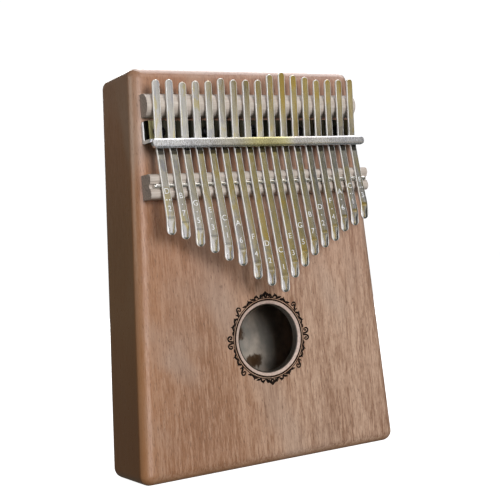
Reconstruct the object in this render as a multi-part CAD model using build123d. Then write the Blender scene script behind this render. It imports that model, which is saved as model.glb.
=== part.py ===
from build123d import *
from math import atan2, cos, sin
import os

# Box kalimba (a modern mbira) with seventeen spring-steel tines.
# Frame: the box stands on its lower end. +X runs to the right as the player sees the
# front, +Z runs up towards the tuning ends of the tines, and the soundboard faces -Y.
# The origin is the middle of the flat lower end. All lengths are in millimetres.

# ---- driving dimensions: the box ----
BODY_HEIGHT = 185.0
TOP_WIDTH = 118.0
BOTTOM_WIDTH = 138.0
BODY_DEPTH = 38.0
EDGE_ROUND = 5.5
TOP_CORNER = 4.2
BOTTOM_CORNER = 4.6
SOUNDBOARD_THICKNESS = 4.0
BACK_THICKNESS = 4.5
SIDE_THICKNESS = 10.0
END_THICKNESS = 12.0
HOLE_RADIUS = 15.7
HOLE_CHAMFER_WIDTH = 1.8
HOLE_CHAMFER_DEPTH = 0.6
HOLE_Z = 58.4
FINGER_HOLE_RADIUS = 4.5
FINGER_HOLE_X = 30.0
FINGER_HOLE_Z = 104.0

# ---- driving dimensions: wooden bars on the soundboard ----
REAR_BAR_Z = 167.2
REAR_BAR_TALL = 10.4
REAR_BAR_HALF_LENGTH = 56.0
REAR_BAR_SHOULDER = 0.42
FRONT_BAR_TALL = 11.0
FRONT_BAR_HALF_LENGTH = 58.4
FRONT_BAR_CREST = 8.9
LOBE_DROP = 2.4
LOBE_OFFSET = 3.3
CHANNEL_MOUTH = 3.4
CHANNEL_LIP_DROP = 0.7

# ---- driving dimensions: tines, as heights of their mid-line above the soundboard ----
TINE_COUNT = 17
TINE_PITCH = 6.5
TINE_THICKNESS = 1.0
TINE_WIDTH = 3.5
TIP_WIDTH = 4.3
PRESS_Z = 150.5
PRESS_HEIGHT = 7.1
SADDLE_Z = 131.2
SADDLE_HEIGHT = 10.1
REAR_SLOPE = 0.065
PLAY_SLOPE = 0.19
TIP_SLOPE = 0.0
TIP_BEND_LENGTH = 7.5
BEND_RADIUS = 14.0
REST_TOP_Z = 178.0
# Lengths from the middle tine outwards, the same on the left and on the right.
TINE_LENGTHS = [98.5, 95.0, 91.5, 85.5, 81.5, 77.5, 73.5, 71.0, 68.5]
# How far each tine is slid up from REST_TOP_Z to bring it into tune, left to right.
TUNING_SLIDES = [-0.4, -0.2, -1.3, -0.7, -0.6, 0.7, 0.1, 0.1, 0.2, 2.8, 3.9, 2.7, 2.0, 0.7, 0.9, 1.0, 1.4]

# ---- driving dimensions: saddle rod, bracket and screws ----
ROD_RADIUS = 1.2
ROD_HALF_LENGTH = 56.8
ROD_GAP = 0.03
CHANNEL_GAP = 0.02
BRACKET_HALF_LENGTH = 56.5
SHEET = 1.5
PLATE_TOP_Z = 160.7
PLATE_CORNER = 1.6
WEB_Z = 150.2
LIP_BOTTOM_Z = 147.2
LIP_DEPTH = 2.5
LIP_GAP = 0.5
LIP_LEAN = 0.9
LIP_CORNER = 2.2
LIP_ROUND = 1.1
BEND_OUTSIDE = 1.3
BEND_INSIDE = 0.8
SLOT_WIDTH = 4.6
SLOT_BACK_GAP = 0.7
REAR_BAR_GAP = 0.66
SCREW_COUNT = 5
SCREW_SPACING = 24.4
SCREW_Z = 155.6
SCREW_RADIUS = 1.3
SCREW_CLEARANCE = 0.05
SCREW_LENGTH = 14.0
SCREW_POINT = 2.2
HEAD_RADIUS = 2.9
HEAD_TALL = 1.9
HEAD_ROUND = 1.2
RECESS_LONG = 3.3
RECESS_WIDE = 0.75
RECESS_DEEP = 1.1

# ---- driving dimensions: block under the bracket, inside the box ----
BLOCK_THICKNESS = 11.0
BLOCK_LOW_Z = 142.0
BLOCK_HIGH_Z = 170.0

# ---- values worked out from the driving dimensions ----
FRONT_Y = -BODY_DEPTH / 2
BACK_Y = BODY_DEPTH / 2
INNER_FRONT_Y = FRONT_Y + SOUNDBOARD_THICKNESS
INNER_BACK_Y = BACK_Y - BACK_THICKNESS
SIDE_LEAN = (BOTTOM_WIDTH - TOP_WIDTH) / 2 / BODY_HEIGHT
SPAN = 3 * BODY_HEIGHT
# How far a cutting shape runs past what it cuts.
OVERRUN = 1.0


def proud(height):
    """Y of a point that stands this far in front of the soundboard."""
    return FRONT_Y - height


def half_width(z):
    """Half of the box's width at a level."""
    return BOTTOM_WIDTH / 2 - SIDE_LEAN * z


def slab(y_low, y_high):
    """Everything between two planes across the depth."""
    return Pos(0, (y_low + y_high) / 2, BODY_HEIGHT / 2) * Box(SPAN, y_high - y_low, SPAN)


def front_prism(outline):
    """Sweep an outline drawn in X and Z through the whole depth and beyond."""
    return extrude(Plane.XZ * outline, amount=BODY_DEPTH, both=True)


def bar_from_section(section, half_length):
    """Sweep a section drawn in Y and Z along X, the same distance to each side."""
    return extrude(Plane.YZ * section, amount=half_length, both=True)


def trapezium(inset, below, above):
    """The box's outline, moved in by inset at the sides and by below and above at the ends."""
    low = below
    high = BODY_HEIGHT - above
    points = [
        (-half_width(low) + inset, low),
        (half_width(low) - inset, low),
        (half_width(high) - inset, high),
        (-half_width(high) + inset, high),
    ]
    return make_face(Polyline(*points, close=True))


# ---- the box ----
def make_blank():
    """The outer form of the whole box, solid."""
    outline = trapezium(0, 0, 0)
    outline = fillet(outline.vertices().group_by(Axis.Y)[-1], radius=TOP_CORNER)
    outline = fillet(outline.vertices().group_by(Axis.Y)[0], radius=BOTTOM_CORNER)
    blank = extrude(Plane.XZ * outline, amount=BODY_DEPTH / 2, both=True)
    rims = blank.faces().filter_by(Axis.Y).edges()
    return fillet(rims, radius=EDGE_ROUND)


def make_screw_holes(radius):
    """Five holes for the bracket screws, along Y."""
    holes = []
    for place in screw_places():
        holes.append(place * Rot(90, 0, 0) * Cylinder(radius, BODY_DEPTH))
    return holes


def screw_places():
    """Where the five screw axes cross the plane of the soundboard."""
    first = -SCREW_SPACING * (SCREW_COUNT - 1) / 2
    return [Pos(first + SCREW_SPACING * n, FRONT_Y, SCREW_Z) for n in range(SCREW_COUNT)]


def make_soundboard(blank):
    """Front plate with its chamfered sound hole and five screw holes."""
    board = blank & slab(FRONT_Y - OVERRUN, INNER_FRONT_Y)
    hole = Pos(0, FRONT_Y, HOLE_Z) * Rot(90, 0, 0) * Cylinder(HOLE_RADIUS, BODY_DEPTH)
    chamfer_cone = Cone(HOLE_RADIUS, HOLE_RADIUS + 2 * HOLE_CHAMFER_WIDTH, 2 * HOLE_CHAMFER_DEPTH)
    board -= hole
    board -= Pos(0, FRONT_Y, HOLE_Z) * Rot(90, 0, 0) * chamfer_cone
    board -= make_screw_holes(SCREW_RADIUS + SCREW_CLEARANCE)
    return board


def make_back_panel(blank):
    """Back plate with the two small holes that the middle fingers open and close."""
    panel = blank & slab(INNER_BACK_Y, BACK_Y + OVERRUN)
    for side in (-1, 1):
        place = Pos(side * FINGER_HOLE_X, BACK_Y, FINGER_HOLE_Z)
        panel -= place * Rot(90, 0, 0) * Cylinder(FINGER_HOLE_RADIUS, BODY_DEPTH)
    return panel


def make_rails(blank):
    """The four rails between the plates: two full-height sides, and two ends between them."""
    between_sides = front_prism(trapezium(SIDE_THICKNESS, -OVERRUN, -OVERRUN))
    cavity = front_prism(trapezium(SIDE_THICKNESS, END_THICKNESS, END_THICKNESS))
    core = blank & slab(INNER_FRONT_Y, INNER_BACK_Y)
    sides = (core - between_sides).solids().sort_by(Axis.X)
    ends = ((core & between_sides) - cavity).solids().sort_by(Axis.Z)
    return {
        "left_side": sides[0],
        "right_side": sides[-1],
        "lower_rail": ends[0],
        "upper_rail": ends[-1],
    }


def make_bridge_block():
    """Hardwood block glued behind the soundboard, between the sides, that holds the screws."""
    inside = trapezium(SIDE_THICKNESS, BLOCK_LOW_Z, BODY_HEIGHT - BLOCK_HIGH_Z)
    block = front_prism(inside) & slab(INNER_FRONT_Y, INNER_FRONT_Y + BLOCK_THICKNESS)
    return block - make_screw_holes(SCREW_RADIUS + SCREW_CLEARANCE)


# ---- wooden bars ----
def make_rear_bar():
    """D-shaped bar under the tuning ends of the tines."""
    crest = rear_bar_crest()
    low = REAR_BAR_Z - REAR_BAR_TALL / 2
    high = REAR_BAR_Z + REAR_BAR_TALL / 2
    shoulder = proud(crest * REAR_BAR_SHOULDER)
    outline = [
        Polyline((shoulder, high), (FRONT_Y, high), (FRONT_Y, low), (shoulder, low)),
        ThreePointArc((shoulder, low), (proud(crest), REAR_BAR_Z), (shoulder, high)),
    ]
    return bar_from_section(make_face(outline), REAR_BAR_HALF_LENGTH)


def rear_bar_crest():
    """Height of the rear bar, which leaves room for the tines to rock."""
    tine_height = PRESS_HEIGHT + REAR_SLOPE * (REAR_BAR_Z - PRESS_Z)
    return tine_height - TINE_THICKNESS / 2 - REAR_BAR_GAP


def saddle_normal():
    """Unit vector in Y and Z from the tine's mid-line at the saddle towards the box."""
    press_angle = atan2(SADDLE_HEIGHT - PRESS_HEIGHT, PRESS_Z - SADDLE_Z)
    play_angle = atan2(PLAY_SLOPE, 1)
    tilt = (press_angle + play_angle) / 2
    return cos(tilt), -sin(tilt)


def rod_centre():
    """Y and Z of the saddle rod's centre, just clear of the backs of the tines."""
    across, along = saddle_normal()
    reach = TINE_THICKNESS / 2 + ROD_GAP + ROD_RADIUS
    return proud(SADDLE_HEIGHT) + across * reach, SADDLE_Z + along * reach


def make_front_bar():
    """Bar with two rounded lobes and a channel between them for the saddle rod."""
    rod_y, rod_z = rod_centre()
    low = rod_z - FRONT_BAR_TALL / 2
    high = rod_z + FRONT_BAR_TALL / 2
    shoulder = proud(FRONT_BAR_CREST - LOBE_DROP)
    crest = proud(FRONT_BAR_CREST)
    lobe = LOBE_OFFSET
    lip = proud(FRONT_BAR_CREST - CHANNEL_LIP_DROP)
    lip_half = CHANNEL_MOUTH / 2
    channel = ROD_RADIUS + CHANNEL_GAP
    outline = [
        Polyline((shoulder, high), (FRONT_Y, high), (FRONT_Y, low), (shoulder, low)),
        ThreePointArc((shoulder, low), (crest, rod_z - lobe), (lip, rod_z - lip_half)),
        Line((lip, rod_z - lip_half), (rod_y, rod_z - channel)),
        ThreePointArc((rod_y, rod_z - channel), (rod_y + channel, rod_z), (rod_y, rod_z + channel)),
        Line((rod_y, rod_z + channel), (lip, rod_z + lip_half)),
        ThreePointArc((lip, rod_z + lip_half), (crest, rod_z + lobe), (shoulder, high)),
    ]
    return bar_from_section(make_face(outline), FRONT_BAR_HALF_LENGTH)


def make_saddle_rod():
    """Steel rod with rounded ends that the tines rest on."""
    rod_y, rod_z = rod_centre()
    rod = Rot(0, 90, 0) * Cylinder(ROD_RADIUS, 2 * ROD_HALF_LENGTH)
    rod = fillet(rod.edges().filter_by(GeomType.CIRCLE), radius=ROD_RADIUS * 0.7)
    return Pos(0, rod_y, rod_z) * rod


# ---- bracket and screws ----
def lip_inner_y():
    """The lip's inner face, just clear of the fronts of the tines."""
    return proud(PRESS_HEIGHT + TINE_THICKNESS / 2 + LIP_GAP)


def make_bracket():
    """Bent plate: screwed flat to the soundboard, out through a slotted web to a round lip."""
    inner = lip_inner_y()
    outer = inner - LIP_DEPTH
    web_top = WEB_Z + SHEET
    section = [
        (FRONT_Y, PLATE_TOP_Z),
        (FRONT_Y, WEB_Z),
        (inner - LIP_LEAN, WEB_Z),
        (inner - LIP_LEAN, LIP_BOTTOM_Z),
        (outer - LIP_LEAN, LIP_BOTTOM_Z),
        (outer, web_top),
        (proud(SHEET), web_top),
        (proud(SHEET), PLATE_TOP_Z),
    ]
    outline = make_face(Polyline(*section, close=True))
    tip_corners = [(inner - LIP_LEAN, LIP_BOTTOM_Z), (outer - LIP_LEAN, LIP_BOTTOM_Z)]
    for y, z in tip_corners + [(outer, web_top)]:
        outline = fillet(pick(outline, y, z), radius=LIP_ROUND)
    outline = fillet(pick(outline, FRONT_Y, WEB_Z), radius=BEND_OUTSIDE)
    outline = fillet(pick(outline, proud(SHEET), web_top), radius=BEND_INSIDE)
    bracket = bar_from_section(outline, BRACKET_HALF_LENGTH)
    bracket -= tine_slots(inner)
    bracket -= make_screw_holes(SCREW_RADIUS + SCREW_CLEARANCE)
    round_lip = rounded_outline(LIP_BOTTOM_Z, web_top, LIP_CORNER, LIP_CORNER)
    bracket -= slab(outer - LIP_DEPTH, inner) - round_lip
    return bracket & rounded_outline(LIP_BOTTOM_Z, PLATE_TOP_Z, LIP_CORNER, PLATE_CORNER)


def pick(outline, y, z):
    """The outline's corner nearest to a place in Y and Z."""
    return outline.vertices().sort_by_distance((y, z))[0]


def tine_slots(inner):
    """One window in the web for each tine."""
    back = proud(PRESS_HEIGHT - TINE_THICKNESS / 2 - SLOT_BACK_GAP)
    windows = []
    for x in tine_places():
        place = Pos(x, (inner + back) / 2, WEB_Z + SHEET / 2)
        windows.append(place * Box(SLOT_WIDTH, back - inner, SHEET + 2 * OVERRUN))
    return windows


def rounded_outline(low, high, low_corner, high_corner):
    """The bracket's width between two levels, seen from the front, with rounded corners."""
    outline = Rectangle(2 * BRACKET_HALF_LENGTH, high - low)
    outline = fillet(outline.vertices().group_by(Axis.Y)[0], radius=low_corner)
    outline = fillet(outline.vertices().group_by(Axis.Y)[-1], radius=high_corner)
    return front_prism(Pos(0, (low + high) / 2) * outline)


def make_screw():
    """Pan-head wood screw along +Y with its head's underside in the plane Y = 0."""
    head = Rot(90, 0, 0) * Cylinder(HEAD_RADIUS, HEAD_TALL)
    head = fillet(head.edges().group_by(Axis.Y)[0], radius=HEAD_ROUND)
    head = Pos(0, -HEAD_TALL / 2, 0) * head
    for length, width in ((RECESS_LONG, RECESS_WIDE), (RECESS_WIDE, RECESS_LONG)):
        head -= Pos(0, -HEAD_TALL, 0) * Box(length, 2 * RECESS_DEEP, width)
    shank_length = SCREW_LENGTH - SCREW_POINT
    shank_profile = Polyline(
        (0, 0),
        (SCREW_RADIUS, 0),
        (SCREW_RADIUS, shank_length),
        (0, SCREW_LENGTH),
        close=True,
    )
    shank = revolve(make_face(shank_profile), axis=Axis.Y)
    return head + shank


def make_screws():
    """The five bracket screws, seated on the bracket's plate."""
    screw = make_screw()
    return [Pos(0, -SHEET, 0) * place * screw for place in screw_places()]


# ---- tines ----
def tine_places():
    """X of each tine, left to right."""
    middle = (TINE_COUNT - 1) / 2
    return [(n - middle) * TINE_PITCH for n in range(TINE_COUNT)]


def make_tine(x, length, slide):
    """One flat spring with rounded ends: over the rear bar, under the lip, over the saddle."""
    top = REST_TOP_Z + slide
    tip = top - length
    bend = tip + TIP_BEND_LENGTH
    top_height = PRESS_HEIGHT + REAR_SLOPE * (top - PRESS_Z)
    bend_height = SADDLE_HEIGHT + PLAY_SLOPE * (SADDLE_Z - bend)
    tip_height = bend_height + TIP_SLOPE * TIP_BEND_LENGTH
    path = [
        (proud(top_height), top + OVERRUN),
        (proud(PRESS_HEIGHT), PRESS_Z),
        (proud(SADDLE_HEIGHT), SADDLE_Z),
        (proud(bend_height), bend),
        (proud(tip_height), tip - OVERRUN),
    ]
    mid_line = FilletPolyline(*path, radius=BEND_RADIUS)
    strip = trace(mid_line, line_width=TINE_THICKNESS)
    spring = extrude(Plane.YZ * strip, amount=TIP_WIDTH, both=True)
    return Pos(x, 0, 0) * (spring & front_prism(tine_outline(top, tip)))


def tine_outline(top, tip):
    """A tine from the front: parallel to the saddle, then wider towards its tip."""
    half_top = TINE_WIDTH / 2
    half_tip = TIP_WIDTH / 2
    outline = [
        Line((half_top, top - half_top), (half_top, SADDLE_Z)),
        Line((half_top, SADDLE_Z), (half_tip, tip + half_tip)),
        ThreePointArc((half_tip, tip + half_tip), (0, tip), (-half_tip, tip + half_tip)),
        Line((-half_tip, tip + half_tip), (-half_top, SADDLE_Z)),
        Line((-half_top, SADDLE_Z), (-half_top, top - half_top)),
        ThreePointArc((-half_top, top - half_top), (0, top), (half_top, top - half_top)),
    ]
    return make_face(outline)


def write_part(name, solids):
    """Write one sub-part, which may be a group of separate solids."""
    shape = Compound(label=name, children=solids) if isinstance(solids, list) else solids
    export_step(shape, f"parts/{name}.step")


def main():
    os.makedirs("parts", exist_ok=True)
    blank = make_blank()
    write_part("soundboard", make_soundboard(blank))
    write_part("back_panel", make_back_panel(blank))
    for name, rail in make_rails(blank).items():
        write_part(name, rail)
    write_part("bridge_block", make_bridge_block())
    write_part("rear_bar", make_rear_bar())
    write_part("front_bar", make_front_bar())
    write_part("saddle_rod", make_saddle_rod())
    write_part("tine_bracket", make_bracket())
    write_part("bracket_screws", make_screws())
    middle = TINE_COUNT // 2
    for number, x in enumerate(tine_places()):
        length = TINE_LENGTHS[abs(number - middle)]
        tine = make_tine(x, length, TUNING_SLIDES[number])
        write_part(f"tine_{number + 1:02d}", tine)


main()
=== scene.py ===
from math import atan, cos, pi, radians, sin

import bmesh
import bpy
from mathutils import Matrix, Vector


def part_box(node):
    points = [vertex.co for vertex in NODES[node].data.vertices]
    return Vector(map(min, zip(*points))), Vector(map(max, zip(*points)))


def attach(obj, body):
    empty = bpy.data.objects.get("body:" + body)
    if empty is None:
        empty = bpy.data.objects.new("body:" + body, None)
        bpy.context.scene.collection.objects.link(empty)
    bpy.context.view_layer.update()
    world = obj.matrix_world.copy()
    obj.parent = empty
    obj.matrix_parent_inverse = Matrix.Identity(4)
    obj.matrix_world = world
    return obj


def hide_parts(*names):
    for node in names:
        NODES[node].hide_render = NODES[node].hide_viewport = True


# A box kalimba of seventeen tines. Lengths are in metres unless a name ends in _mm.
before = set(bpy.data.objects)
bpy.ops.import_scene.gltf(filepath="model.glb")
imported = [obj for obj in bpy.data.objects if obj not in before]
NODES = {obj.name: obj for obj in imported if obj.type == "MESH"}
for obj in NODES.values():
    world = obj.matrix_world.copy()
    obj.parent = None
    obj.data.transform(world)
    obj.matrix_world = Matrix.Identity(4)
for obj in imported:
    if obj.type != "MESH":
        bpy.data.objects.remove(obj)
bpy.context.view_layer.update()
MM = 0.001

# ---- places taken over from the wooden box and its fittings ----
BOARD_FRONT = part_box("soundboard")[0].y
BACK_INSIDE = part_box("back_panel")[0].y
HOLE_Z_MM = 58.4
HOLE_RIM_MM = 17.6
HOLE_SCORCH_MM = 16.2
TINE_NAMES = sorted(name for name in NODES if name.startswith("tine_") and name[5:].isdigit())
TINE_THICKNESS_MM = 1.0
SADDLE_Z_MM = 131.2
SADDLE_HEIGHT_MM = 10.1
PLAY_SLOPE = 0.19
LIP_DEPTH_MM = 3.2
LIP_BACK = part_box("tine_bracket")[0].y + LIP_DEPTH_MM * MM
BETWEEN_BARS = 0.15


# ---- nodes of a finish ----
class Finish:
    """A material whose nodes are added one after another."""

    def __init__(self, name):
        self.material = bpy.data.materials.new(name)
        self.material.use_nodes = True
        self.tree = self.material.node_tree
        self.shader = self.tree.nodes["Principled BSDF"]
        self.place = self.add("TexCoord").outputs["Object"]

    def add(self, kind, values=(), **settings):
        """A node, its settings, and its inputs in (index or name, value or socket) pairs."""
        node = self.tree.nodes.new("ShaderNode" + kind)
        for name, value in settings.items():
            setattr(node, name, value)
        for key, value in values:
            self.feed(node.inputs[key], value)
        return node

    def feed(self, socket, value):
        if isinstance(value, bpy.types.NodeSocket):
            self.tree.links.new(value, socket)
        else:
            socket.default_value = value

    def stretched(self, x, y, z, shift=(0, 0, 0)):
        """The object's own coordinates, times this many units a metre along each axis."""
        values = [("Vector", self.place), ("Scale", (x, y, z)), ("Location", shift)]
        return self.add("Mapping", values).outputs[0]

    def noise(self, place, detail=3.0, roughness=0.55, distortion=0.0):
        values = [
            ("Vector", place),
            ("Scale", 1.0),
            ("Detail", detail),
            ("Roughness", roughness),
            ("Distortion", distortion),
        ]
        return self.add("TexNoise", values).outputs[0]

    def axes(self, vector=None):
        return self.add("SeparateXYZ", [(0, vector or self.place)]).outputs

    def maths(self, operation, a, b=0.0, c=0.0):
        node = self.add("Math", [(0, a), (1, b), (2, c)], operation=operation)
        return node.outputs[0]

    def between(self, value, low, high, to_low=0.0, to_high=1.0):
        """A soft step from to_low at low to to_high at high."""
        values = [(0, value), (1, low), (2, high), (3, to_low), (4, to_high)]
        return self.add("MapRange", values, interpolation_type="SMOOTHSTEP").outputs[0]

    def evenly(self, value, low, high):
        """From 0 at low to 1 at high, without softening."""
        values = [(0, value), (1, low), (2, high)]
        return self.add("MapRange", values, interpolation_type="LINEAR").outputs[0]

    def mix(self, share, a, b, blend="MIX"):
        values = [(0, share), (6, self.colour(a)), (7, self.colour(b))]
        return self.add("Mix", values, data_type="RGBA", blend_type=blend).outputs[2]

    def colour(self, value):
        return value if isinstance(value, bpy.types.NodeSocket) else (*value, 1.0)

    def ramp(self, value, stops, interpolation="EASE"):
        node = self.add("ValToRGB", [(0, value)])
        node.color_ramp.interpolation = interpolation
        elements = node.color_ramp.elements
        while len(elements) < len(stops):
            elements.new(1.0)
        while len(elements) > len(stops):
            elements.remove(elements[-1])
        for element, (position, rgb) in zip(elements, stops):
            element.position = position
            element.color = (*rgb, 1.0)
        return node.outputs[0]

    def bump(self, height, depth_mm, strength=1.0):
        """Turns height, from 0 to 1, into relief this many millimetres deep."""
        values = [("Height", height), ("Distance", depth_mm * MM), ("Strength", strength)]
        if self.shader.inputs["Normal"].is_linked:
            values.append(("Normal", self.shader.inputs["Normal"].links[0].from_socket))
        self.set("Normal", self.add("Bump", values).outputs[0])

    def set(self, name, value):
        self.feed(self.shader.inputs[name], value)

    def put_on(self, *things):
        for thing in things:
            thing.data.materials.clear()
            thing.data.materials.append(self.material)


# ---- wood ----
LIGHT_FIBRE = (0.535, 0.356, 0.250)
MID_FIBRE = (0.390, 0.238, 0.158)
DARK_FIBRE = (0.240, 0.126, 0.074)
RED_STAIN = (0.330, 0.165, 0.120)
GREY_HAZE = (0.430, 0.320, 0.250)
WARM_STAIN = (0.320, 0.130, 0.045)
AMBER_EDGE = (0.370, 0.165, 0.062)
PORE = (0.120, 0.062, 0.036)
# Painted shade on the sides of the box, darker towards the bottom: height, tint.
PAINTED_FLANK_SHADE = (
    (0.015, (0.60, 0.53, 0.40)),
    (0.095, (0.74, 0.75, 0.66)),
    (0.170, (1.00, 1.00, 1.00)),
)
BROAD_SHARE, BAND_SHARE, FIBRE_SHARE = 0.24, 0.24, 0.52
STREAK_LEAN, STREAK_ACROSS = 0.40, 0.026
RAW_RIM = (0.600, 0.460, 0.380)
RAW_INSIDE = (0.570, 0.470, 0.375)
GLUE_BROWN = (0.055, 0.028, 0.012)
# Dried glue on the inside of the back: across, up and reach.
GLUE_SPOTS_MM = ((2.6, 59.6, 3.2), (9.2, 45.3, 3.2), (11.6, 45.1, 3.1))


def body_wood(name, extra=None):
    """Open-pored brown tonewood under a thin satin lacquer, its grain running up the box."""
    wood = Finish(name)
    x, y, height = wood.axes()
    broad = wood.noise(wood.stretched(34, 34, 7), detail=3, distortion=0.6)
    band = wood.noise(wood.stretched(430, 430, 20), detail=4, roughness=0.65)
    fibre = wood.noise(wood.stretched(1500, 1500, 150), detail=3, roughness=0.75)
    short = wood.noise(wood.stretched(2300, 2300, 420), detail=2)
    tone = wood.maths("MULTIPLY", band, BAND_SHARE)
    tone = wood.maths("MULTIPLY_ADD", fibre, FIBRE_SHARE, tone)
    tone = wood.maths("MULTIPLY_ADD", broad, BROAD_SHARE, tone)
    stops = [(0.42, DARK_FIBRE), (0.50, MID_FIBRE), (0.58, LIGHT_FIBRE)]
    colour = wood.ramp(tone, stops, "LINEAR")
    rise = wood.between(height, 0.050, 0.170, 0.0, 0.80)
    colour = wood.mix(wood.maths("MULTIPLY", rise, band), colour, RED_STAIN)
    warm = wood.between(x, 0.025, -0.050, 0.0, 0.95)
    colour = wood.mix(wood.maths("MULTIPLY", warm, broad), colour, WARM_STAIN)
    drift = wood.noise(wood.stretched(22, 22, 11, (0.4, 0, 1.3)), detail=2, distortion=0.8)
    haze = wood.between(drift, 0.50, 0.72, 0.0, 0.45)
    colour = wood.mix(haze, colour, GREY_HAZE)
    along = wood.maths("MULTIPLY_ADD", height, STREAK_LEAN, x)
    along = wood.maths("MULTIPLY_ADD", drift, 0.030, along)
    streak = wood.maths("ABSOLUTE", wood.maths("SUBTRACT", along, STREAK_ACROSS))
    colour = wood.mix(wood.between(streak, 0.012, 0.002, 0.0, 0.30), colour, GREY_HAZE)
    pores = wood.between(short, 0.58, 0.70)
    colour = wood.mix(wood.maths("MULTIPLY", pores, 0.55), colour, PORE)
    normal = wood.axes(wood.add("NewGeometry").outputs["True Normal"])
    facing = wood.maths("ABSOLUTE", normal[1])
    turned = wood.between(facing, 0.98, 0.50, 0.0, 0.85)
    # Faces turned from the front take an amber brown; its share grows towards the bottom as painted shade.
    turned = wood.maths("MULTIPLY", turned, wood.between(height, 0.185, 0.02, 0.25, 0.9))
    colour = wood.mix(turned, colour, AMBER_EDGE)
    # Painted shade: faces turned sideways are darkened, more towards the bottom.
    flank = wood.between(facing, 0.30, 0.10)
    colour = wood.mix(flank, colour, wood.ramp(height, PAINTED_FLANK_SHADE), "MULTIPLY")
    if extra:
        colour = extra(wood, colour)
    wood.set("Base Color", colour)
    wood.set("Roughness", wood.between(fibre, 0.30, 0.70, 0.38, 0.27))
    wood.set("Specular IOR Level", 0.5)
    wood.set("Coat Weight", 0.25)
    wood.set("Coat Roughness", 0.13)
    wood.bump(wood.maths("SUBTRACT", fibre, wood.maths("MULTIPLY", pores, 0.7)), 0.035, 0.8)
    return wood


def hole_rim(wood, colour):
    """Pale cut wood on the rim of the sound hole, and a scorched wall behind it."""
    across = wood.axes()[0]
    up = wood.maths("SUBTRACT", wood.axes()[2], HOLE_Z_MM * MM)
    square = wood.maths("MULTIPLY_ADD", across, across, wood.maths("MULTIPLY", up, up))
    reach = wood.maths("SQRT", square)
    rim = wood.between(reach, (HOLE_RIM_MM + 0.05) * MM, (HOLE_RIM_MM - 0.2) * MM)
    speck = wood.noise(wood.stretched(900, 900, 900), detail=3)
    cut = wood.ramp(speck, [(0.3, (0.46, 0.34, 0.28)), (0.7, RAW_RIM)])
    colour = wood.mix(rim, colour, cut)
    scorch = wood.ramp(speck, [(0.3, (0.012, 0.009, 0.006)), (0.7, (0.040, 0.028, 0.018))])
    wall = wood.between(reach, (HOLE_SCORCH_MM + 0.1) * MM, (HOLE_SCORCH_MM - 0.1) * MM)
    return wood.mix(wall, colour, scorch)


def raw_inside(wood, colour):
    """Unfinished wood, with smears of glue, on the face that looks into the box."""
    cloud = wood.noise(wood.stretched(70, 70, 45), detail=4)
    raw = wood.ramp(cloud, [(0.35, (0.22, 0.20, 0.17)), (0.65, RAW_INSIDE)])
    ragged = wood.noise(wood.stretched(420, 420, 260), detail=3)
    for x_mm, z_mm, reach_mm in GLUE_SPOTS_MM:
        spot = (x_mm * MM, BACK_INSIDE, z_mm * MM)
        measure = wood.add("VectorMath", [(0, wood.place), (1, spot)], operation="DISTANCE")
        away = wood.maths("MULTIPLY_ADD", ragged, 6 * MM, measure.outputs["Value"])
        smear = wood.between(away, (reach_mm + 3.8) * MM, (reach_mm + 2.2) * MM, 0.0, 0.95)
        raw = wood.mix(smear, raw, GLUE_BROWN)
    inside = wood.between(wood.axes()[1], BACK_INSIDE + 0.3 * MM, BACK_INSIDE + 0.1 * MM)
    return wood.mix(inside, colour, raw)


def bar_wood():
    """Pale close-grained beech with short flecks, its grain along the bar, darker end grain."""
    wood = Finish("pale_beech")
    line = wood.noise(wood.stretched(45, 900, 900), detail=3)
    fleck = wood.noise(wood.stretched(260, 1900, 1900), detail=2)
    colour = wood.ramp(line, [(0.30, (0.44, 0.37, 0.31)), (0.70, (0.56, 0.49, 0.42))])
    dark = wood.between(fleck, 0.60, 0.70, 0.0, 0.45)
    colour = wood.mix(dark, colour, (0.42, 0.27, 0.17))
    reach = wood.maths("ABSOLUTE", wood.axes()[0])
    front_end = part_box("front_bar")[1].x - 0.1 * MM
    rear_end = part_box("rear_bar")[1].x - 0.1 * MM
    on_rear_bar = wood.maths("GREATER_THAN", wood.axes()[2], BETWEEN_BARS)
    limit = wood.maths("MULTIPLY_ADD", on_rear_bar, rear_end - front_end, front_end)
    end_grain = wood.maths("GREATER_THAN", reach, limit)
    speck = wood.noise(wood.stretched(500, 1400, 1400), detail=3)
    cut = wood.ramp(speck, [(0.3, (0.30, 0.24, 0.21)), (0.7, (0.56, 0.47, 0.42))])
    wood.set("Base Color", wood.mix(end_grain, colour, cut))
    wood.set("Roughness", wood.between(line, 0.3, 0.7, 0.50, 0.62))
    wood.bump(line, 0.04, 0.6)
    return wood


def block_wood():
    """Sawn hardwood that is never seen from outside."""
    wood = Finish("sawn_block")
    line = wood.noise(wood.stretched(60, 700, 700), detail=4)
    wood.set("Base Color", wood.ramp(line, [(0.3, (0.30, 0.20, 0.12)), (0.7, (0.52, 0.38, 0.24))]))
    wood.set("Roughness", wood.between(line, 0.3, 0.7, 0.65, 0.85))
    wood.bump(line, 0.15)
    return wood


# ---- metal ----
def plated_steel(name, light, shade, rough, waves, dents_mm):
    """Plated steel: faint tarnish in the colour, fine rubbing, and slow waves in the surface."""
    steel = Finish(name)
    cloud = steel.noise(steel.stretched(140, 140, 60), detail=4)
    rub = steel.noise(steel.stretched(2600, 2600, 90), detail=2)
    colour = steel.ramp(cloud, [(0.35, shade), (0.60, light)])
    polish = steel.between(rub, 0.3, 0.7, rough, rough * 1.9)
    steel.set("Base Color", colour)
    steel.set("Metallic", 1.0)
    steel.set("Roughness", polish)
    steel.bump(steel.noise(steel.stretched(*waves), detail=2), dents_mm, 1.0)
    return steel, colour, polish


# Heights between which a painted shadow darkens the tines under the lip.
LIP_SHADOW_FOOT, LIP_SHADOW_TOP = 0.1442, 0.1485
STEEL_GREY = (0.62, 0.64, 0.66)
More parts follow.
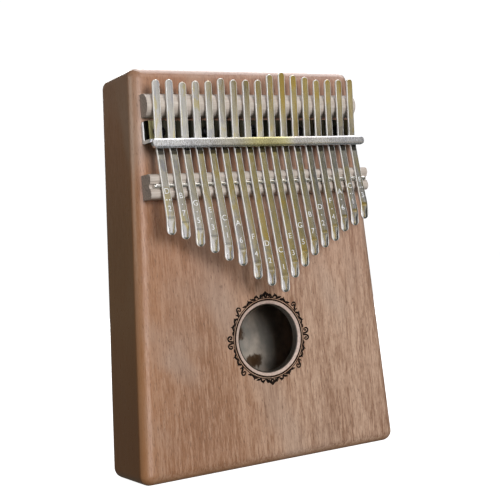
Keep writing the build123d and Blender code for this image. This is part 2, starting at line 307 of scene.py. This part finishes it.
# Brass and blue tints: partly tarnish, partly painted reflection.
BRASS_TARNISH_AND_REFLECTION = (0.90, 0.78, 0.34)
BLUE_TARNISH_AND_REFLECTION = (0.62, 0.64, 0.76)
# Colour of the painted shadow under the lip.
PAINTED_LIP_SHADOW = (0.050, 0.045, 0.035)
SHEARED_RIM = (0.92, 0.90, 0.86)


def sheared_tine_steel():
    """Nickel with long tarnish streaks, brass and blue patches that are partly tarnish and partly painted
    reflection, a painted shadow under the lip, and a paler, duller rim where the strip was sheared.
    """
    steel, colour, polish = plated_steel(
        "tine_nickel", (0.92, 0.91, 0.88), (0.80, 0.79, 0.74), 0.09, (190, 190, 55), 0.020
    )
    streak = steel.noise(steel.stretched(1300, 1300, 32), detail=3, roughness=0.6)
    colour = steel.mix(steel.between(streak, 0.50, 0.66, 0.0, 0.55), colour, STEEL_GREY)
    # Brass and blue patches, partly tarnish and partly painted reflection of the surroundings.
    patch = steel.noise(steel.stretched(120, 120, 50, (0.3, 0, 0.7)), detail=3, distortion=0.7)
    colour = steel.mix(steel.between(patch, 0.53, 0.64, 0.0, 0.60), colour, BRASS_TARNISH_AND_REFLECTION)
    colour = steel.mix(steel.between(patch, 0.45, 0.36, 0.0, 0.60), colour, BLUE_TARNISH_AND_REFLECTION)
    height = steel.axes()[2]
    # A dark band painted just under the lip: painted shadow.
    over_foot = steel.between(height, LIP_SHADOW_FOOT, LIP_SHADOW_FOOT + 0.8 * MM)
    under_top = steel.between(height, LIP_SHADOW_TOP, LIP_SHADOW_TOP - 0.5 * MM)
    lip_shadow = steel.maths("MULTIPLY", over_foot, under_top)
    colour = steel.mix(steel.maths("MULTIPLY", lip_shadow, 0.85), colour, PAINTED_LIP_SHADOW)
    normal = steel.axes(steel.add("NewGeometry").outputs["Normal"])
    sideways = steel.maths("ABSOLUTE", normal[0])
    rim = steel.between(sideways, 0.10, 0.32)
    steel.set("Base Color", steel.mix(rim, colour, SHEARED_RIM))
    steel.set("Metallic", steel.between(sideways, 0.10, 0.32, 1.0, 0.12))
    steel.set("Roughness", steel.maths("MULTIPLY_ADD", rim, 0.35, polish))
    return steel


# Painted reflection along the lip, from its left end to its right: share of the way, colour.
LIP_PAINTED_REFLECTION = (
    (0.04, (0.95, 0.97, 1.00)),
    (0.17, (0.74, 0.75, 0.78)),
    (0.32, (0.68, 0.67, 0.60)),
    (0.48, (0.76, 0.71, 0.36)),
    (0.60, (0.88, 0.84, 0.46)),
    (0.68, (0.98, 0.96, 0.90)),
    (1.00, (0.97, 0.97, 1.00)),
)
LIP_HALF = 0.050
# Across places on the plate behind the lip: the middle of a painted yellow reflection strip, and the left
# end, which carries a painted highlight.
REFLECTION_STRIP_X = -0.0517
LEFT_END = -0.0558
# White of the painted glints on the lip.
PAINTED_GLINT_WHITE = (1.0, 1.0, 1.0)
PAINTED_REFLECTION_YELLOW = (0.80, 0.74, 0.36)
# White of the painted highlight at the plate's left end.
PAINTED_END_HIGHLIGHT = (0.95, 0.95, 0.95)


def bracket_steel():
    """Chrome on the pressure lip with painted glints and a painted reflection along it; the plate behind
    the tines painted dark as shade, with a painted reflection strip and a painted highlight at its left
    end.
    """
    steel, colour, _ = plated_steel(
        "bracket_chrome", (0.80, 0.80, 0.82), (0.62, 0.62, 0.66), 0.16, (420, 1200, 1200), 0.010
    )
    x, y = steel.axes()[:2]
    # Painted glints: white specks in the lip's colour, thicker towards the left end.
    grit = steel.noise(steel.stretched(2100, 2100, 2100), detail=2)
    painted_glint_share = steel.between(x, 0.020, -0.045, 0.25, 0.75)
    painted_glint = steel.maths("MULTIPLY", steel.between(grit, 0.44, 0.62), painted_glint_share)
    colour = steel.mix(painted_glint, colour, PAINTED_GLINT_WHITE)
    # The lip's colour is multiplied by a painted reflection that changes along it.
    along = steel.evenly(x, -LIP_HALF, LIP_HALF)
    colour = steel.mix(1.0, colour, steel.ramp(along, LIP_PAINTED_REFLECTION), "MULTIPLY")
    # The plate behind the lip is painted near black: painted shade and painted dark reflection of the
    # tines' backs.
    behind = steel.between(y, LIP_BACK, LIP_BACK + 0.4 * MM)
    plate_mottle = steel.noise(steel.stretched(260, 260, 60), detail=3)
    painted_dark_plate = steel.ramp(plate_mottle, [(0.35, (0.020, 0.020, 0.016)), (0.70, (0.110, 0.105, 0.080))])
    # A painted yellow reflection in a strip across the plate.
    beside = steel.maths("ABSOLUTE", steel.maths("SUBTRACT", x, REFLECTION_STRIP_X))
    tarnish = steel.maths("MULTIPLY", behind, steel.between(beside, 2.1 * MM, 1.6 * MM))
    # A painted highlight along the plate's left end.
    edge = steel.maths("MULTIPLY", behind, steel.between(x, LEFT_END, LEFT_END - 0.4 * MM))
    painted_dark_plate = steel.mix(tarnish, painted_dark_plate, PAINTED_REFLECTION_YELLOW)
    painted_dark_plate = steel.mix(edge, painted_dark_plate, PAINTED_END_HIGHLIGHT)
    steel.set("Base Color", steel.mix(behind, colour, painted_dark_plate))
    # The painted reflection strip and the painted highlight are made nearly non-metallic.
    dull = steel.maths("MAXIMUM", tarnish, edge)
    # Where the painted glints are, the metal is made less metallic so that they stay bright.
    whitish = steel.maths("MULTIPLY_ADD", painted_glint, 0.30, 0.06)
    whitish = steel.maths("MULTIPLY", steel.maths("SUBTRACT", 1.0, behind), whitish)
    bare = steel.maths("MULTIPLY_ADD", dull, -0.95, 1.0)
    steel.set("Metallic", steel.maths("SUBTRACT", bare, whitish))
    return steel


def rod_steel():
    """Bright chrome with shallow ripples along the rod."""
    light, shade = (0.84, 0.84, 0.82), (0.66, 0.66, 0.64)
    return plated_steel("rod_chrome", light, shade, 0.14, (300, 700, 700), 0.004)[0]


def black_screw():
    """Black-oxide steel with rubbed high spots."""
    steel = Finish("black_oxide")
    cloud = steel.noise(steel.stretched(1500, 1500, 1500), detail=3)
    colour = steel.ramp(cloud, [(0.35, (0.010, 0.010, 0.013)), (0.75, (0.045, 0.045, 0.055))])
    steel.set("Base Color", colour)
    steel.set("Metallic", 0.7)
    steel.set("Roughness", steel.between(cloud, 0.3, 0.7, 0.22, 0.4))
    steel.bump(cloud, 0.02)
    return steel


wood_shell = body_wood("lacquered_shell")
wood_front = body_wood("lacquered_soundboard", hole_rim)
wood_back = body_wood("lacquered_back", raw_inside)
wood_shell.put_on(*(NODES[n] for n in ("left_side", "right_side", "lower_rail", "upper_rail")))
wood_front.put_on(NODES["soundboard"])
wood_back.put_on(NODES["back_panel"])
bar_wood().put_on(NODES["front_bar"], NODES["rear_bar"])
block_wood().put_on(NODES["bridge_block"])
tine_steel = sheared_tine_steel()
rod_steel().put_on(NODES["saddle_rod"])
bracket_steel().put_on(NODES["tine_bracket"])
black_screw().put_on(NODES["bracket_screws"])


# ---- tines with rounded rims, a faint crown and a domed tip ----
RIM_ROUND_MM = 0.34
CROWN_MM = 0.015
DOME_MM = 0.30
DOME_FULL_MM = 2.0
DOME_END_MM = 7.0
TIP_HALF_MM = 2.15
CUTS_ACROSS_MM = (-1.2, -0.6, 0.0, 0.6, 1.2)
FIRST_CUT_MM = 0.3
CUT_STEP_MM = 0.6
CUT_COUNT = 14


def add_piece(name, mesh, body):
    piece = bpy.data.objects.new(name, mesh)
    bpy.context.scene.collection.objects.link(piece)
    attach(piece, body)
    return piece


def cut_across(shape, point, normal):
    whole = shape.verts[:] + shape.edges[:] + shape.faces[:]
    bmesh.ops.bisect_plane(shape, geom=whole, dist=1e-7, plane_co=point, plane_no=normal)


def front_rim(shape):
    """The edges where the front face meets the sheared sides."""
    rim = []
    for edge in shape.edges:
        ways = sorted(face.normal.y for face in edge.link_faces)
        if len(ways) == 2 and ways[0] < -0.6 and ways[1] > -0.4:
            rim.append(edge)
    return rim


def finish_tine(name):
    """Replaces a plain tine by one with a rounded rim, cut finer so that its tip can be domed."""
    low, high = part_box(name)
    middle = (low.x + high.x) / 2
    shape = bmesh.new()
    shape.from_mesh(NODES[name].data)
    bmesh.ops.remove_doubles(shape, verts=shape.verts, dist=1e-6)
    bmesh.ops.dissolve_limit(shape, angle_limit=radians(1), verts=shape.verts, edges=shape.edges)
    bmesh.ops.bevel(
        shape,
        geom=front_rim(shape),
        offset=RIM_ROUND_MM * MM,
        affect="EDGES",
        segments=3,
        profile=0.5,
        material=-1,
    )
    for across_mm in CUTS_ACROSS_MM:
        cut_across(shape, (middle + across_mm * MM, 0, 0), (1, 0, 0))
    for step in range(CUT_COUNT):
        height = low.z + (FIRST_CUT_MM + CUT_STEP_MM * step) * MM
        cut_across(shape, (0, 0, height), (0, 0, 1))
    shape.normal_update()
    for vert in shape.verts:
        across = (vert.co.x - middle) / MM / TIP_HALF_MM
        end = min(0.0, (vert.co.z - low.z) / MM / TIP_HALF_MM - 1)
        out = across * across + end * end
        below_dome = low.z + DOME_END_MM * MM - vert.co.z
        near = min(1.0, max(0.0, below_dome / MM / (DOME_END_MM - DOME_FULL_MM)))
        fall = CROWN_MM + (DOME_MM - CROWN_MM) * near * near * (3 - 2 * near)
        vert.co.y += fall * MM * out * max(0.0, -vert.normal.y)
    mesh = bpy.data.meshes.new(name + "_spring")
    shape.to_mesh(mesh)
    shape.free()
    mesh.shade_smooth()
    mesh.set_sharp_from_angle(angle=radians(50))
    spring = add_piece(name + "_spring", mesh, name)
    tine_steel.put_on(spring)
    even = spring.modifiers.new("flat_faces", "WEIGHTED_NORMAL")
    even.weight = 60
    even.keep_sharp = True
    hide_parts(name)


for tine in TINE_NAMES:
    finish_tine(tine)


# ---- note marks engraved in the tines ----
LETTERS = "D B G E C A F D C E G B D F A C E".split()
DEGREES = "2 7 5 3 1 6 4 2 1 3 5 7 2 4 6 1 3".split()
OCTAVE_DOTS = (2, 1, 1, 1, 1, 0, 0, 0, 0, 0, 0, 0, 1, 1, 1, 2, 2)
LETTER_RISE_MM = 19.4
DOT_RISE_MM = 15.4
DEGREE_RISE_MM = 11.6
MARK_SIZE_MM = 3.6
DOT_SIZE_MM = 5.0
DOT_GAP_MM = 1.3
MARK_THICKNESS_MM = 0.016
MARK_THINNING_MM = 0.02
MARK_PROUD_MM = 0.006
HALF_LETTER = 0.35


def baked_mesh(thing):
    """The mesh that a curve or text makes; the curve or text itself is dropped."""
    mesh = bpy.data.meshes.new_from_object(thing.evaluated_get(bpy.context.evaluated_depsgraph_get()))
    bpy.data.objects.remove(thing)
    return mesh


def mark_mesh(text, size_mm):
    """One character as a thin flat mesh about the middle of its height."""
    data = bpy.data.curves.new("mark", "FONT")
    data.body = text
    data.size = size_mm * MM
    data.align_x = "CENTER"
    data.extrude = MARK_THICKNESS_MM / 2 * MM
    data.offset = -MARK_THINNING_MM * MM
    writing = bpy.data.objects.new("mark", data)
    bpy.context.scene.collection.objects.link(writing)
    mesh = baked_mesh(writing)
    mesh.transform(Matrix.Translation((0, -HALF_LETTER * size_mm * MM, 0)))
    return mesh


def play_plane(x, z):
    """A frame on the front of a tine's playing end: X across, Y up the tine, Z outwards."""
    slope = atan(PLAY_SLOPE)
    centre_mm = SADDLE_HEIGHT_MM + PLAY_SLOPE * (SADDLE_Z_MM - z / MM)
    face_mm = centre_mm + TINE_THICKNESS_MM / 2 / cos(slope)
    place = Matrix.Translation((x, BOARD_FRONT - face_mm * MM, z))
    lift = Matrix.Translation((0, 0, MARK_PROUD_MM * MM))
    return place @ Matrix.Rotation(pi / 2 - slope, 4, "X") @ lift


def engrave(number, name):
    """Letter, octave dots and degree number, one above the other on a tine."""
    low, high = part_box(name)
    middle = (low.x + high.x) / 2
    parts = [
        (LETTERS[number], MARK_SIZE_MM, 0.0, LETTER_RISE_MM),
        (DEGREES[number], MARK_SIZE_MM, 0.0, DEGREE_RISE_MM),
    ]
    dots = OCTAVE_DOTS[number]
    for dot in range(dots):
        across_mm = (dot - (dots - 1) / 2) * DOT_GAP_MM
        parts.append(("\u00b7", DOT_SIZE_MM, across_mm, DOT_RISE_MM))
    shape = bmesh.new()
    for text, size, across, rise in parts:
        mesh = mark_mesh(text, size)
        mesh.transform(play_plane(middle + across * MM, low.z + rise * MM))
        shape.from_mesh(mesh)
        bpy.data.meshes.remove(mesh)
    mesh = bpy.data.meshes.new(name + "_mark")
    shape.to_mesh(mesh)
    shape.free()
    engraving.put_on(add_piece(name + "_mark", mesh, name))


def engraved_line():
    """Scratched metal: pale and matt beside the polish."""
    line = Finish("engraved_line")
    grit = line.noise(line.stretched(4000, 4000, 4000), detail=3)
    scratched = line.ramp(grit, [(0.3, (0.55, 0.55, 0.53)), (0.6, (0.88, 0.88, 0.87))])
    line.set("Base Color", scratched)
    line.set("Roughness", line.between(grit, 0.3, 0.7, 0.5, 0.8))
    line.set("Metallic", 0.2)
    line.bump(grit, 0.01)
    return line


engraving = engraved_line()
for number, tine in enumerate(TINE_NAMES):
    engrave(number, tine)


# ---- burnt ornament round the sound hole ----
# Strokes of one quarter: degrees from the top, millimetres from the hole's middle, half width.
RINGS = ((18.02, 0.36), (18.90, 0.20))
RING_STEPS = 96
STROKE_WEIGHT = 1.7
FLATNESS = 0.07
STROKES = (
    ((9.5, 19.0, 0.15), (6.6, 19.9, 0.36), (3.6, 20.3, 0.42), (1.5, 20.9, 0.40), (0.0, 22.0, 0.14)),
    ((0.0, 21.0, 0.20), (1.7, 20.4, 0.30), (1.8, 19.6, 0.30), (0.0, 19.1, 0.26)),
    ((10.5, 19.0, 0.15), (8.2, 20.3, 0.28), (6.0, 20.7, 0.26), (4.6, 19.8, 0.22), (5.8, 19.2, 0.24)),
    ((11.0, 19.1, 0.15), (13.0, 20.2, 0.36), (16.0, 20.5, 0.36), (18.2, 19.9, 0.30), (16.9, 19.2, 0.22)),
    ((15.0, 20.3, 0.30), (14.4, 20.9, 0.20), (13.2, 21.2, 0.08)),
    ((18.2, 19.1, 0.20), (20.4, 19.9, 0.40), (23.0, 20.1, 0.32), (24.5, 20.8, 0.10)),
    ((23.0, 19.0, 0.20), (26.0, 19.6, 0.42), (29.4, 19.8, 0.38), (32.5, 19.3, 0.30), (34.0, 19.0, 0.20)),
    ((28.0, 19.8, 0.30), (28.8, 20.4, 0.24), (28.0, 21.0, 0.08)),
    ((33.0, 19.0, 0.20), (35.4, 19.6, 0.36), (38.0, 19.6, 0.30), (39.6, 20.3, 0.10)),
    (
        (54.5, 18.9, 0.20), (51.6, 19.5, 0.34), (49.6, 20.4, 0.34), (48.4, 21.6, 0.30), (45.8, 22.1, 0.26),
        (43.4, 21.4, 0.24), (43.4, 20.3, 0.22), (45.4, 19.8, 0.20), (47.0, 20.4, 0.22), (46.2, 21.0, 0.34),
    ),
    ((52.0, 19.4, 0.30), (53.6, 20.2, 0.26), (53.2, 21.0, 0.08)),
    ((56.0, 19.0, 0.20), (58.5, 20.0, 0.40), (61.5, 20.1, 0.38), (64.5, 19.5, 0.30), (66.0, 19.0, 0.18)),
    ((60.0, 20.1, 0.30), (59.2, 20.7, 0.20), (57.8, 20.9, 0.08)),
    ((65.0, 19.1, 0.20), (67.6, 19.9, 0.38), (70.8, 19.9, 0.34), (73.4, 19.4, 0.26), (75.0, 19.0, 0.16)),
    ((70.0, 19.9, 0.28), (70.8, 20.5, 0.20), (70.2, 21.1, 0.08)),
    ((75.0, 19.0, 0.20), (77.0, 19.5, 0.30), (79.4, 19.4, 0.26), (80.6, 19.0, 0.14)),
    (
        (89.0, 18.9, 0.20), (88.9, 20.2, 0.28), (88.0, 21.5, 0.30), (85.2, 22.1, 0.28), (82.4, 21.4, 0.26),
        (82.2, 20.2, 0.22), (84.2, 19.7, 0.20), (85.8, 20.4, 0.22), (85.0, 21.0, 0.34),
    ),
)


def burnt_mark():
    """Charred line: near black, browner and rougher where the burn is light."""
    char = Finish("burnt_line")
    soot = char.noise(char.stretched(1300, 1300, 1300), detail=4)
    burnt = char.ramp(soot, [(0.45, (0.006, 0.004, 0.003)), (0.85, (0.045, 0.026, 0.016))])
    char.set("Base Color", burnt)
    char.set("Roughness", char.between(soot, 0.3, 0.7, 0.55, 0.85))
    char.set("Specular IOR Level", 0.1)
    char.bump(soot, 0.02)
    return char


def make_ornament():
    """Swelling strokes of one quarter, mirrored all round, with two rings, pressed flat."""
    data = bpy.data.curves.new("ornament", "CURVE")
    data.dimensions = "3D"
    data.bevel_depth = MM
    data.bevel_resolution = 1
    data.resolution_u = 5
    data.use_fill_caps = True
    for stroke in STROKES:
        line = data.splines.new("NURBS")
        line.points.add(len(stroke) - 1)
        for point, (turn, reach, half) in zip(line.points, stroke):
            x, z = reach * sin(radians(turn)), reach * cos(radians(turn))
            point.co = (x * MM, 0, z * MM, 1)
            point.radius = half * STROKE_WEIGHT
        line.order_u = 3
        line.use_endpoint_u = True
    drawing = bpy.data.objects.new("ornament", data)
    bpy.context.scene.collection.objects.link(drawing)
    shape = bmesh.new()
    shape.from_mesh(baked_mesh(drawing))
    for axis in ("X", "Z"):
        copy = shape.verts[:] + shape.edges[:] + shape.faces[:]
        bmesh.ops.mirror(shape, geom=copy, merge_dist=0, axis=axis)
    for reach, half in RINGS:
        start = bmesh.ops.create_circle(shape, segments=8, radius=half * MM)["verts"]
        bmesh.ops.translate(shape, vec=(reach * MM, 0, 0), verts=start)
        ring = [edge for vert in start for edge in vert.link_edges]
        bmesh.ops.spin(
            shape,
            geom=list(set(ring)),
            cent=(0, 0, 0),
            axis=(0, 1, 0),
            angle=2 * pi,
            steps=RING_STEPS,
            use_merge=True,
        )
    bmesh.ops.scale(shape, vec=(1, FLATNESS, 1), verts=shape.verts)
    bmesh.ops.translate(shape, vec=(0, BOARD_FRONT, HOLE_Z_MM * MM), verts=shape.verts)
    bmesh.ops.recalc_face_normals(shape, faces=shape.faces)
    mesh = bpy.data.meshes.new("sound_hole_ornament")
    shape.to_mesh(mesh)
    shape.free()
    mesh.shade_smooth()
    burnt_mark().put_on(add_piece("sound_hole_ornament", mesh, "box"))


make_ornament()


# ---- floor, background and light ----
FLOOR_WIDTH = 16
FLOOR_GLOW = 0.95


def panel(name, centre, facing, width, height):
    """A flat rectangle that faces a point."""
    mesh = bpy.data.meshes.new(name)
    shape = bmesh.new()
    bmesh.ops.create_grid(shape, x_segments=1, y_segments=1, size=0.5)
    bmesh.ops.scale(shape, vec=(width, height, 1), verts=shape.verts)
    shape.to_mesh(mesh)
    shape.free()
    thing = bpy.data.objects.new(name, mesh)
    turn = (Vector(facing) - Vector(centre)).to_track_quat("Z", "Y")
    thing.matrix_world = Matrix.Translation(centre) @ turn.to_matrix().to_4x4()
    bpy.context.scene.collection.objects.link(thing)
    return thing


def softbox(name, place, target, width, height, power, colour=(1, 1, 1)):
    """A rectangular lamp of this size in metres and power in watts, turned towards a point."""
    data = bpy.data.lights.new(name, "AREA")
    data.shape = "RECTANGLE"
    data.size = width
    data.size_y = height
    data.energy = power
    data.color = colour
    lamp = bpy.data.objects.new(name, data)
    lamp.location = place
    lamp.rotation_euler = (Vector(target) - Vector(place)).to_track_quat("-Z", "Y").to_euler()
    bpy.context.scene.collection.objects.link(lamp)
    return lamp


def make_floor():
    """A matt floor that glows to white and shows in no reflection."""
    floor = panel("floor", (0, 0, 0), (0, 0, 1), FLOOR_WIDTH, FLOOR_WIDTH)
    paint = Finish("floor_paint")
    mottle = paint.noise(paint.stretched(3, 3, 3), detail=2)
    pale = paint.ramp(mottle, [(0.3, (0.86, 0.86, 0.86)), (0.7, (0.90, 0.90, 0.90))])
    paint.set("Base Color", pale)
    paint.set("Roughness", 0.9)
    paint.set("Specular IOR Level", 0.0)
    paint.set("Emission Color", (1, 1, 1, 1))
    paint.set("Emission Strength", FLOOR_GLOW)
    paint.put_on(floor)
    floor.visible_diffuse = False
    floor.visible_glossy = False


def make_sky():
    """White as a background, dim and even as a source of light, and dull in the metal."""
    world = bpy.data.worlds.new("studio")
    bpy.context.scene.world = world
    world.use_nodes = True
    tree = world.node_tree
    tree.nodes.clear()
    path = tree.nodes.new("ShaderNodeLightPath")
    out = tree.nodes.new("ShaderNodeOutputWorld")
    last = None
    for colour, strength, ray in (
        ((1.0, 0.97, 0.92), 0.10, None),
        ((0.80, 0.84, 0.74), 0.12, "Is Glossy Ray"),
        ((1.0, 1.0, 1.0), 1.05, "Is Camera Ray"),
    ):
        glow = tree.nodes.new("ShaderNodeBackground")
        glow.inputs[0].default_value = (*colour, 1)
        glow.inputs[1].default_value = strength
        if last is None:
            last = glow
            continue
        pick = tree.nodes.new("ShaderNodeMixShader")
        tree.links.new(path.outputs[ray], pick.inputs[0])
        tree.links.new(last.outputs[0], pick.inputs[1])
        tree.links.new(glow.outputs[0], pick.inputs[2])
        last = pick
    tree.links.new(last.outputs[0], out.inputs[0])


# Colours that the polish mirrors.
PEARL = (0.66, 0.64, 0.65)
BRIGHT = (0.72, 0.70, 0.64)
MIST = (0.49, 0.47, 0.45)
STONE = (0.30, 0.29, 0.29)
SHADE = (0.07, 0.07, 0.06)
DARK = (0.02, 0.02, 0.02)
STRAW = (0.56, 0.47, 0.30)
BRASS = (0.41, 0.31, 0.10)
CLAY = (0.26, 0.21, 0.13)
OLIVE = (0.24, 0.19, 0.05)
BRONZE = (0.21, 0.16, 0.06)

# What each stretch of the metal mirrors, from the left of the reflector to the right.
FOR_TIPS = ((0.0, PEARL), (0.20, PEARL), (0.31, BRONZE), (0.45, BRASS), (0.60, CLAY), (0.78, MIST))
FOR_TINES_OVER_LIP = (
    (0.00, PEARL),
    (0.28, BRIGHT),
    (0.46, BRIGHT),
    (0.53, SHADE),
    (0.70, SHADE),
    (0.78, STONE),
)
FOR_UPPER_TINES = ((0.0, PEARL), (0.14, MIST), (0.28, MIST), (0.35, CLAY), (0.48, BRASS), (0.68, STRAW))
FOR_TINE_TOPS = ((0.0, PEARL), (0.24, MIST), (0.30, BRONZE), (0.41, BRONZE), (0.50, BRASS), (0.72, BRASS))
FOR_BENDS = ((0.3, STONE), (0.45, BRONZE))
FOR_PLAYING_ENDS = (
    (0.00, PEARL),
    (0.28, MIST),
    (0.38, MIST),
    (0.43, CLAY),
    (0.52, BRASS),
    (0.62, OLIVE),
    (0.80, STONE),
    (0.92, MIST),
)
FOR_TINES_UNDER_LIP = (
    (0.00, OLIVE),
    (0.26, STONE),
    (0.34, OLIVE),
    (0.58, OLIVE),
    (0.64, SHADE),
    (0.82, SHADE),
    (0.92, MIST),
)
FOR_LIP = ((0.0, PEARL), (0.30, MIST), (0.45, STRAW), (0.56, PEARL), (0.8, BRIGHT))
# Bands over the lowest one: where a band sets in, where it is full, and its colours.
BANDS = (
    (0.135, 0.150, FOR_TINES_OVER_LIP),
    (0.182, 0.198, FOR_UPPER_TINES),
    (0.212, 0.232, FOR_TINE_TOPS),
    (0.262, 0.300, FOR_BENDS),
    (0.420, 0.460, FOR_PLAYING_ENDS),
    (0.556, 0.578, FOR_TINES_UNDER_LIP),
    (0.650, 0.700, FOR_LIP),
)
REFLECTOR_PLACE = (0.70, -1.0, 0.36)
REFLECTOR_WIDTH = 1.1
BANDS_LEFT, BANDS_RIGHT = 0.35, 0.90
RIPPLE_REACH = 0.08

ROSE_WHITE = (1.0, 0.97, 0.98)
LEFT_FADE = ((0.0, ROSE_WHITE), (0.62, ROSE_WHITE), (0.90, (0.34, 0.33, 0.33)))
TOP_TINTS = (
    (0.46, (1.0, 1.0, 1.0)),
    (0.63, (0.90, 0.84, 0.78)),
    (0.72, (0.80, 0.74, 0.60)),
    (0.88, (0.80, 0.82, 0.88)),
)


def light_card(card, glow, colour, strength):
    """Makes a card glow in this colour, for reflections alone."""
    emit = glow.add("Emission", [("Color", colour), ("Strength", strength)])
    glow.feed(glow.tree.nodes["Material Output"].inputs["Surface"], emit.outputs[0])
    glow.put_on(card)
    card.visible_camera = False
    card.visible_diffuse = False
    card.visible_shadow = False


def white_card(name, centre, width, height, strength, stops):
    """A pale card, tinted from side to side, that brightens edges in the polish and lacquer."""
    card = panel(name, centre, (0, 0, 0.09), width, height)
    glow = Finish(name + "_glow")
    x = glow.axes(glow.add("NewGeometry").outputs["Position"])[0]
    across = glow.evenly(x, centre[0] - width / 2, centre[0] + width / 2)
    light_card(card, glow, glow.ramp(across, stops), strength)


def make_reflector():
    """A banded card, slightly rippled: each stretch of the metal mirrors a band of its own."""
    x, y, z = REFLECTOR_PLACE
    card = panel("reflector", (x, y, z), (x, 0, z), REFLECTOR_WIDTH, REFLECTOR_WIDTH)
    glow = Finish("reflector_glow")
    where = glow.add("NewGeometry").outputs["Position"]
    coarse = glow.add("Mapping", [(0, where), ("Scale", (9, 9, 9))]).outputs[0]
    ripple = glow.noise(coarse, detail=2)
    shift = glow.maths("MULTIPLY_ADD", ripple, RIPPLE_REACH, -RIPPLE_REACH / 2)
    across = glow.maths("ADD", glow.axes(where)[0], shift)
    across = glow.evenly(across, BANDS_LEFT, BANDS_RIGHT)
    rise = glow.maths("MULTIPLY_ADD", shift, 0.5, glow.axes(where)[2])
    colour = glow.ramp(across, FOR_TIPS)
    for low, high, stops in BANDS:
        colour = glow.mix(glow.between(rise, low, high), colour, glow.ramp(across, stops))
    colour = glow.mix(glow.between(across, 0.93, 0.98), colour, DARK)
    light_card(card, glow, colour, 1.0)


make_floor()
make_sky()
make_reflector()
white_card("left_card", (-0.41, -1.12, 0.10), 0.85, 1.3, 2.9, LEFT_FADE)
white_card("top_card", (0.40, -0.93, 1.05), 1.3, 0.5, 2.2, TOP_TINTS)
white_card("upper_card", (0.50, 0.22, 1.00), 1.0, 0.9, 4.0, ((0.0, ROSE_WHITE),))
key = softbox("key", (-0.02, -1.23, 0.35), (0, 0, 0.08), 0.60, 0.56, 15.2, (0.98, 1.0, 1.04))
key.visible_glossy = False
softbox("side_fill", (-1.3, 0.15, 0.50), (0, 0, 0.12), 0.7, 0.6, 3.0, (1.0, 0.96, 0.86))
softbox("back_fill", (0.7, 1.3, 0.7), (0, 0, 0.09), 1.0, 1.0, 14)


# ---- camera ----
LENS = 75.45
SENSOR_WIDTH = 36.0
CAMERA_PLACE = (-0.25158, -0.44073, 0.09467)


def make_camera():
    data = bpy.data.cameras.new("camera")
    data.lens = LENS
    data.sensor_width = SENSOR_WIDTH
    camera = bpy.data.objects.new("camera", data)
    right = Vector((0.86188799, -0.50019904, -0.08336676))
    up = Vector((0.06638769, -0.05168427, 0.99645442))
    back = Vector((-0.50273429, -0.86436662, -0.01133899))
    turn = Matrix((right, up, back)).transposed().to_4x4()
    camera.matrix_world = Matrix.Translation(CAMERA_PLACE) @ turn
    bpy.context.scene.collection.objects.link(camera)
    bpy.context.scene.camera = camera


make_camera()
bpy.context.scene.view_settings.view_transform = "Standard"
